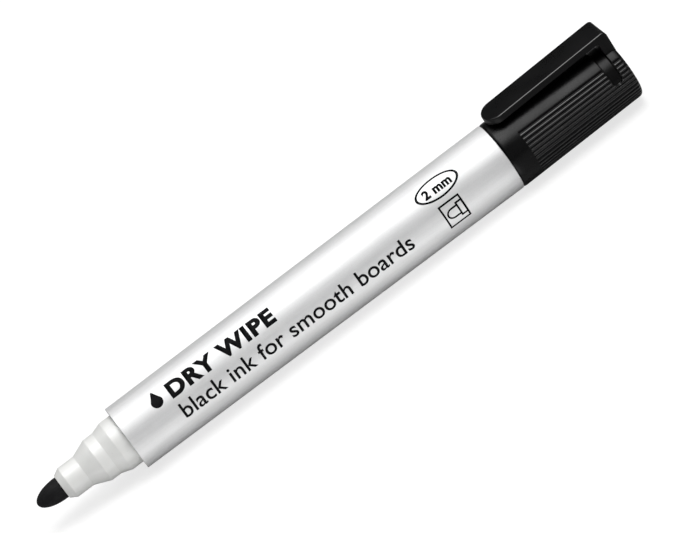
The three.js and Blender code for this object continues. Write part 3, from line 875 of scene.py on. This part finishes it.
def clip_grid():
    """Pillow over the clip's plan: rows step in from the outline to the middle line, along the
    underside first and back along the top.

    The top drops by a quarter circle at its edge and by a larger one at the root. The underside
    drops over the bead near the tip, and over the pillar down to a foot inside the cap. The
    second grid is the polish of the top edge.
    """
    x, y, nx, ny = clip_plan().T[:, :, None]
    edge, low_edge = CLIP_EDGE, CLIP_LOW_EDGE
    bend = np.linspace(0, math.pi / 2, 6)
    low_bend = np.linspace(math.pi / 2, 0, 4)
    top_in = np.concatenate([edge * (1 - np.cos(bend)), [0.3, 0.55, 0.8, 1.05]])
    top_drop = np.concatenate([edge * (1 - np.sin(bend)), np.zeros(4)])
    low_in = np.concatenate([[0.9, 0.5, 0.25], low_edge * (1 - np.cos(low_bend))])
    low_rise = np.concatenate([np.zeros(3), low_edge * (1 - np.sin(low_bend))])

    middle_x = np.clip(x, CLIP_TIP + 1.5, CAP_END - 1.25)
    low_x = x - nx * low_in[None, :]
    low_y = y - ny * low_in[None, :]
    top_x = x - nx * top_in[None, :]
    top_y = y - ny * top_in[None, :]
    shares = np.array([0.35, 0.7, 1.0])
    fill_low_x = low_x[:, :1] + (middle_x - low_x[:, :1]) * shares[::-1]
    fill_low_y = low_y[:, :1] * (1 - shares[::-1])
    fill_top_x = top_x[:, -1:] + (middle_x - top_x[:, -1:]) * shares
    fill_top_y = top_y[:, -1:] * (1 - shares)

    all_low_x = np.hstack([fill_low_x, low_x])
    all_low_y = np.hstack([fill_low_y, low_y])
    rise = np.concatenate([np.zeros(3), low_rise])[None, :]
    all_top_x = np.hstack([top_x, fill_top_x])
    all_top_y = np.hstack([top_y, fill_top_y])
    drop = np.concatenate([top_drop, np.zeros(3)])[None, :]

    bead_x = CLIP_TIP + BEAD_INSET
    bead_z = cap_surface(bead_x - CAP_MOUTH) + BEAD_GAP + BEAD_RADIUS
    under = clip_underside(all_low_x)
    off_bead = all_low_x - bead_x
    bead = bead_z - np.sqrt(np.clip(BEAD_RADIUS ** 2 - off_bead ** 2, 0, None))
    bead_reach = np.clip((BEAD_HALF - np.abs(all_low_y)) / 0.4, 0, 1)
    sunk = np.where(np.abs(off_bead) < BEAD_RADIUS, np.clip(under - bead, 0, None), 0)
    under = under - sunk * bead_reach
    into_pillar = all_low_x - (CAP_END - PILLAR_LENGTH)
    foot = np.sqrt(PILLAR_FOOT ** 2 - all_low_y ** 2)
    shift = np.interp(into_pillar, [-0.2, -0.1, -0.05, -0.02, 0.0, 0.03],
                      [0.0, 0.02, 0.06, 0.12, 0.2, 1.0])
    low_z = under + (foot - under) * shift + rise

    top = clip_underside(all_top_x) + CLIP_THICKNESS
    near_root = np.clip((all_top_x - (CAP_END - CLIP_ROOT_ROUND)) / CLIP_ROOT_ROUND, 0, 1)
    top_z = top - CLIP_ROOT_ROUND * (1 - np.sqrt(1 - near_root ** 2)) - drop
    grid_x = np.hstack([all_low_x, all_top_x])
    grid_y = np.hstack([all_low_y, all_top_y])
    grid_z = AXIS_Z + np.hstack([low_z, top_z])
    polish = np.zeros_like(grid_x)
    top_from = all_low_x.shape[1]
    polish[:, top_from:top_from + len(bend)] = [0, 0.7, 1, 1, 0.7, 0]
    return np.stack([grid_x, grid_y, grid_z], -1), polish


shell_grid, shell_polish = cap_shell_grid()
shell = skin("cap_body", shell_grid, cap_black, shell_polish)
clip_points, clip_polish = clip_grid()
clip = skin("cap_clip_and_pillar", clip_points, cap_black, clip_polish)


# ------------------------------------------------------------------ print on the barrel

def barrel_surface(x):
    """Radius of the barrel's outside at x."""
    share = (x - BARREL_FRONT) / (BARREL_REAR - BARREL_FRONT)
    return BARREL_FRONT_RADIUS + (BARREL_REAR_RADIUS - BARREL_FRONT_RADIUS) * share


def flat_mesh(curve):
    """Filled outline of a text or a flat curve, as a mesh."""
    carrier = bpy.data.objects.new("carrier", curve)
    bpy.context.scene.collection.objects.link(carrier)
    evaluated = carrier.evaluated_get(bpy.context.evaluated_depsgraph_get())
    mesh = bpy.data.meshes.new_from_object(evaluated)
    bpy.data.objects.remove(carrier)
    return mesh


def print_on_barrel(name, curve, start, angle, width=None, height=None):
    """Flat artwork laid on the barrel, its left end at start and its foot at the angle.

    Artwork is scaled to the width and height where they are given, cut into narrow strips so
    that it can bend, and carried from (along, up) to the point at that x whose angle is less by
    up divided by the radius. A thin wall then reaches down into the barrel.
    """
    mesh = flat_mesh(curve)
    shape = bmesh.new()
    shape.from_mesh(mesh)
    bmesh.ops.remove_doubles(shape, verts=shape.verts, dist=1e-4)
    flat = np.array([v.co for v in shape.verts])
    low, high = flat.min(0), flat.max(0)
    scale_x = width / (high[0] - low[0]) if width else 1.0
    scale_y = height / (high[1] - low[1]) if height else scale_x
    for cut in np.arange(low[1], high[1], PRINT_STRIP / scale_y)[1:]:
        bmesh.ops.bisect_plane(shape, geom=shape.verts[:] + shape.edges[:] + shape.faces[:],
                               plane_co=(0, cut, 0), plane_no=(0, 1, 0))
    shape.to_mesh(mesh)
    shape.free()
    flat = np.empty(len(mesh.vertices) * 3)
    mesh.vertices.foreach_get("co", flat)
    flat = flat.reshape(-1, 3)
    x = start + (flat[:, 0] - low[0]) * scale_x
    up = flat[:, 1] * scale_y
    surface = barrel_surface(x)
    placed = about_axis(x, surface + PRINT_HEIGHT, angle - up / surface) * MM
    mesh.vertices.foreach_set("co", placed.ravel())
    facing = np.empty(len(mesh.polygons) * 3)
    mesh.update()
    mesh.polygons.foreach_get("normal", facing)
    outwards = np.array([0, -math.sin(angle), math.cos(angle)])
    if np.mean(facing.reshape(-1, 3) @ outwards) < 0:
        mesh.flip_normals()
    mesh.materials.clear()
    mesh.materials.append(ink)
    piece = bpy.data.objects.new(name, mesh)
    bpy.context.scene.collection.objects.link(piece)
    wall = piece.modifiers.new("film", "SOLIDIFY")
    wall.thickness = (PRINT_HEIGHT + PRINT_THICKNESS) * MM
    wall.offset = -1
    return piece


def words(body, weight=0.0, spacing=1.0):
    """Text one unit high; weight fattens the strokes."""
    curve = bpy.data.curves.new(body, "FONT")
    curve.body = body
    curve.size = 1.0
    curve.offset = weight
    curve.space_character = spacing
    return curve


def artwork(name, loops):
    """Flat curve filled between closed loops of (along, up) points."""
    curve = bpy.data.curves.new(name, "CURVE")
    curve.dimensions = "2D"
    curve.fill_mode = "BOTH"
    for loop in loops:
        spline = curve.splines.new("POLY")
        spline.points.add(len(loop) - 1)
        flat = np.hstack([loop, np.zeros((len(loop), 1)), np.ones((len(loop), 1))])
        spline.points.foreach_set("co", flat.ravel())
        spline.use_cyclic_u = True
    return curve


def ellipse(centre, half_width, half_height, steps=72):
    """Closed loop: cosine times the half width along, sine times the half height up."""
    turn = np.linspace(0, TAU, steps, endpoint=False)
    return np.stack([centre[0] + half_width * np.cos(turn),
                     centre[1] + half_height * np.sin(turn)], -1)


def frame_loop(left, bottom, width, height):
    """Closed loop of a rectangle's four corners."""
    return np.array([(left, bottom), (left + width, bottom), (left + width, bottom + height),
                     (left, bottom + height)])


def drop_loop(centre, radius, steps=40):
    """Ink drop: a circle whose upper half narrows by the square of the sine and rises by its
    fourth power, up to a point."""
    turn = np.linspace(0, TAU, steps, endpoint=False)
    lift = np.clip(np.sin(turn), 0, 1)
    return np.stack([centre[0] + radius * np.cos(turn) * (1 - 0.45 * lift ** 2),
                     centre[1] + radius * np.sin(turn) + 0.9 * radius * lift ** 4], -1)


def nose_loop(left, middle, length, half_height):
    """Half-ellipse nose that points to -x, closed by a straight back."""
    bend = np.linspace(math.pi / 2, 1.5 * math.pi, 32)
    back = left + length
    nose_x = left + 1.25 * half_height + 1.25 * half_height * np.cos(bend)
    nose = np.stack([nose_x, middle + half_height * np.sin(bend)], -1)
    return np.vstack([[(back, middle + half_height)], nose, [(back, middle - half_height)]])


prints = [
    print_on_barrel("print_title", words("DRY WIPE", 0.05, 1.12), -40.6,
                    math.radians(53), width=26.7, height=3.75),
    print_on_barrel("print_line", words("black ink for smooth boards", 0.01, 1.02), -40.7,
                    math.radians(93), width=58.8),
    print_on_barrel("print_drop", artwork("drop", [drop_loop((0, 1.35), 1.35)]), -45.0,
                    math.radians(53)),
    print_on_barrel("print_ring", artwork("ring", [
        ellipse((0, 0), 5.35, 2.5), ellipse((0, 0), 4.8, 2.08)]), 23.4, math.radians(37.5)),
    print_on_barrel("print_size", words("2 mm", 0.045, 1.05), 25.25,
                    math.radians(45), width=6.9, height=2.2),
    print_on_barrel("print_square", artwork("square", [
        frame_loop(0, 0, 5.25, 5.85), frame_loop(0.4, 0.4, 4.45, 5.05)]), 26.25,
        math.radians(107)),
    print_on_barrel("print_nose_sign", artwork("nose_sign", [
        nose_loop(0, 0, 3.15, 1.25), nose_loop(0.4, 0, 2.4, 0.85)]), 26.95, math.radians(85.5)),
    print_on_barrel("print_collar_sign", artwork("collar_sign", [
        frame_loop(0, -1.75, 1.75, 3.5), frame_loop(0.4, -1.35, 0.95, 2.7)]), 29.7,
        math.radians(85.5)),
]

# ------------------------------------------------------------------ what each piece belongs to

for piece, node, slot_name in ((barrel, "barrel_tube", "barrel_silver"),
                               (section, "front_section", "section_natural"),
                               (nib, "nib", "nib_felt"),
                               (plug, "end_plug", "plug_black")):
    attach(piece, "barrel")
    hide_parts(node)
for piece in prints:
    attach(piece, "barrel")
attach(inner_cap, "inner_seal")
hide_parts("cap_inner_seal")
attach(shell, "cap")
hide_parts("cap_shell")
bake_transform(clip)
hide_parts("cap_clip")
for node, finish in (("filler_core", reservoir_fibre()), ("filler_film", reservoir_film())):
    node_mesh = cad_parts[node].data
    node_mesh.materials.clear()
    node_mesh.materials.append(finish)

# ------------------------------------------------------------------ floor, light and camera

FLOOR_GAP = 0.02  # between the cap and the floor

floor_level = AXIS_Z - CAP_RADIUS - FLOOR_GAP
floor_turn = np.linspace(0, TAU, 97)[None, :]
floor_reach = np.array([0.0, 100, 400, 1200, 3000])[:, None]
floor_grid = np.stack(np.broadcast_arrays(floor_reach * np.cos(floor_turn),
                                          floor_reach * np.sin(floor_turn), floor_level), -1)
floor = skin("floor", floor_grid, pale_floor())

world = bpy.data.worlds.new("studio")
bpy.context.scene.world = world
world.use_nodes = True
world.node_tree.nodes["Background"].inputs["Color"].default_value = (0.06, 0.06, 0.061, 1)
bpy.context.scene.view_settings.view_transform = "Standard"


def soft_light(name, place, aim, width, depth, power):
    """Rectangular soft light at a place, turned to face the aim; metres and watts."""
    lamp = bpy.data.lights.new(name, "AREA")
    lamp.shape = "RECTANGLE"
    lamp.size = width
    lamp.size_y = depth
    lamp.energy = power
    holder = bpy.data.objects.new(name, lamp)
    holder.location = place
    holder.rotation_euler = (Vector(place) - Vector(aim)).to_track_quat("Z", "Y").to_euler()
    holder.visible_camera = False
    bpy.context.scene.collection.objects.link(holder)
    return holder


soft_light("key", (0.14, -0.14, 0.84), (0.02, 0.0, 0.0), 0.46, 0.60, 5.0)
soft_light("overhead_fill", (0.21, 0.08, 0.90), (0.02, 0.0, 0.0), 1.6, 1.7, 9.2)
soft_light("front_fill", (0.0, -1.1, 0.45), (0.0, 0.0, 0.0), 1.6, 0.6, 0.9)
soft_light("low_card", (-0.0195, -0.021, 0.0005), (-0.0195, -0.021, 1.0), 0.131, 0.018, 0.0093)


def aim_camera():
    """Camera 30 degrees above the side with the print and 4 degrees towards the nib, rolled so
    that the marker rises to the right."""
    camera = bpy.data.cameras.new("camera")
    camera.lens = 213
    camera.sensor_width = 36
    camera.dof.use_dof = False
    holder = bpy.data.objects.new("camera", camera)
    bpy.context.scene.collection.objects.link(holder)
    turn, rise, roll = math.radians(4), math.radians(30), math.radians(36.95)
    distance = 0.858  # metres
    aim_x, aim_above = 5.19, 0.62  # from the middle of the marker and above its axis
    back = Vector((-math.sin(turn), -math.cos(turn) * math.cos(rise),
                   math.cos(turn) * math.sin(rise)))
    axis = Vector((1, 0, 0))
    along = (axis - back * axis.dot(back)).normalized()
    above = back.cross(along)
    right = along * math.cos(roll) - above * math.sin(roll)
    up = along * math.sin(roll) + above * math.cos(roll)
    target = Vector((aim_x, 0, AXIS_Z)) * MM + above * aim_above * MM
    place = Matrix((right, up, back)).transposed().to_4x4()
    place.translation = target + back * distance
    holder.matrix_world = place
    bpy.context.scene.camera = holder


aim_camera()
